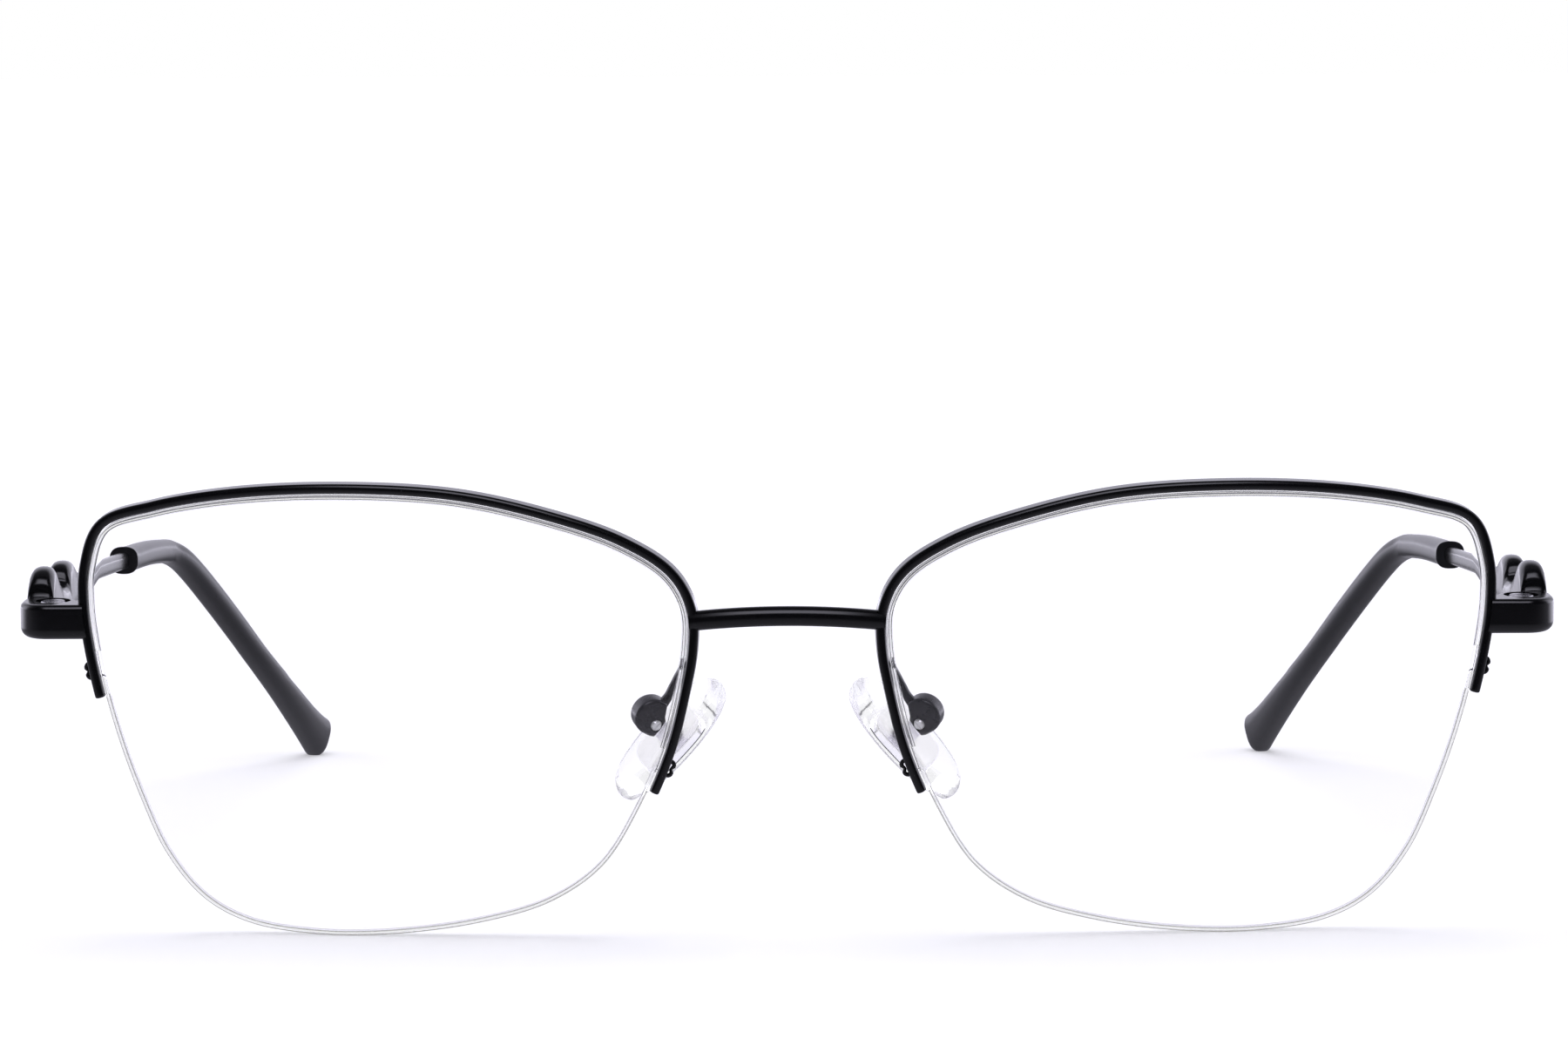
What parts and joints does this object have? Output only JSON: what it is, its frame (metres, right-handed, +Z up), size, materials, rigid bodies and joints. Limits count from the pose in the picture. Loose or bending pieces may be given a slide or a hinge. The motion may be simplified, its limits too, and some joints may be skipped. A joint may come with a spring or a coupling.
{
  "type": "semi-rimless eyeglasses",
  "caption": "Semi-rimless spectacles: wire upper rims, clear lenses hung in nylon cord, rocking nose pads and folding temples with bent ear tips.",
  "frame": {"origin": "centre of the base of the box round the whole object, on the table it stands on", "axes": "+Z up; the wearer looks along -Y; +X towards the wearer's left"},
  "size_m": [0.1384, 0.1364, 0.0414],
  "materials": {
    "black_enamel": "black enamel, glossy",
    "black_acetate": "black, polished",
    "clear_resin": "clear, polished",
    "clear_nylon": "clear, drawn",
    "clear_silicone": "clear, soft gloss",
    "bright_steel": "bright, turned or stamped"
  },
  "bodies": {
    "front": {"bridge": "black_enamel", "right_rim": "black_enamel", "right_rim_liner": "clear_nylon", "right_lens": "clear_resin", "right_lens_cord": "clear_nylon", "right_end_piece": "black_enamel", "right_hinge_screw": "bright_steel", "right_pad_arm": "black_enamel", "right_pad_screw": "bright_steel", "left_rim": "black_enamel", "left_rim_liner": "clear_nylon", "left_lens": "clear_resin", "left_lens_cord": "clear_nylon", "left_end_piece": "black_enamel", "left_hinge_screw": "bright_steel", "left_pad_arm": "black_enamel", "left_pad_screw": "bright_steel"},
    "right_temple": {"right_temple_hinge": "black_enamel", "right_temple_trim": "black_enamel", "right_temple_wire": "black_enamel", "right_temple_tip": "black_acetate"},
    "right_pad": {"right_nose_pad": "clear_silicone", "right_pad_insert": "bright_steel"},
    "left_temple": {"left_temple_hinge": "black_enamel", "left_temple_trim": "black_enamel", "left_temple_wire": "black_enamel", "left_temple_tip": "black_acetate"},
    "left_pad": {"left_nose_pad": "clear_silicone", "left_pad_insert": "bright_steel"}
  },
  "joints": [
    {"name": "right_temple_fold", "type": "hinge", "parent": "front", "child": "right_temple", "pos_m": [-0.06635, -0.06007, 0.02865], "axis": [0, 0.0523, -0.9986], "range_deg": [0, 84]},
    {"name": "left_temple_fold", "type": "hinge", "parent": "front", "child": "left_temple", "pos_m": [0.06635, -0.06007, 0.02865], "axis": [0, -0.0523, 0.9986], "range_deg": [0, 74]},
    {"name": "right_pad_rock", "type": "hinge", "parent": "front", "child": "right_pad", "pos_m": [-0.01235, -0.05447, 0.01838], "axis": [0.3206, -0.8988, -0.299], "range_deg": [-10, 10]},
    {"name": "left_pad_rock", "type": "hinge", "parent": "front", "child": "left_pad", "pos_m": [0.01235, -0.05447, 0.01838], "axis": [0.3206, 0.8988, 0.299], "range_deg": [-10, 10]}
  ]
}
